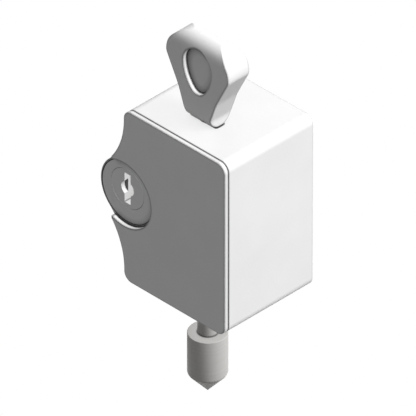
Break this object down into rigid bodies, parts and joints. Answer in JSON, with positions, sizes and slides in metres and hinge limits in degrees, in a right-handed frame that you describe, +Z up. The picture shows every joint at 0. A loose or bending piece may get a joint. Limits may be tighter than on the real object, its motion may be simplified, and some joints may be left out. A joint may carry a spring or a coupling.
{
  "type": "keyed bolt lock",
  "caption": "Surface-fixed spring bolt lock with a pull knob on top and a key cylinder in a side ear.",
  "frame": {"origin": "middle of the flat back face that goes against the door or panel", "axes": "+X to the right, +Y to the back out of the fixing face, +Z up along the bolt"},
  "size_m": [0.0553, 0.0384, 0.1322],
  "materials": {
    "case_paint": "satin white powder coat on a zinc die casting",
    "knob_paint": "satin white powder coat",
    "cylinder_coat": "fine satin white coat",
    "bolt_steel": "turned and ground stainless steel",
    "screw_steel": "zinc plated",
    "spring_steel": "drawn spring wire",
    "cam_steel": "stamped steel",
    "slide_metal": "as cast",
    "pin_brass": "turned brass",
    "bush_bronze": "sintered bronze",
    "buffer_rubber": "moulded"
  },
  "bodies": {
    "case": {"case": "case_paint", "cover": "case_paint", "cover_screws": "screw_steel", "bolt_spring": "spring_steel", "top_bush": "bush_bronze", "bottom_bush": "bush_bronze", "stop_buffer": "buffer_rubber", "cylinder_shell": "cylinder_coat", "cylinder_screw": "screw_steel", "chamber_strip": "pin_brass", "driver_pin_1": "pin_brass", "pin_spring_1": "spring_steel", "driver_pin_2": "pin_brass", "pin_spring_2": "spring_steel", "driver_pin_3": "pin_brass", "pin_spring_3": "spring_steel", "driver_pin_4": "pin_brass", "pin_spring_4": "spring_steel", "driver_pin_5": "pin_brass", "pin_spring_5": "spring_steel"},
    "bolt": {"bolt": "bolt_steel", "knob": "knob_paint", "slide_block": "slide_metal", "slide_pin": "screw_steel", "spring_washer": "screw_steel"},
    "key_plug": {"cylinder_plug": "cylinder_coat", "stop_washer": "cam_steel", "lock_cam": "cam_steel", "cam_washer": "screw_steel", "cam_screw": "screw_steel", "key_pin_1": "pin_brass", "key_pin_2": "pin_brass", "key_pin_3": "pin_brass", "key_pin_4": "pin_brass", "key_pin_5": "pin_brass"}
  },
  "joints": [
    {"name": "bolt_lift", "type": "slide", "parent": "case", "child": "bolt", "axis": [0, 0, 1], "range_m": [0, 0.0155], "stiffness_N_per_m": 800, "springref_m": -0.006, "deforming": ["bolt_spring"]},
    {"name": "key_turn", "type": "hinge", "parent": "case", "child": "key_plug", "pos_m": [-0.0218, -0.026, 0.0013], "axis": [0, 1, 0], "range_deg": [0, 90]}
  ]
}
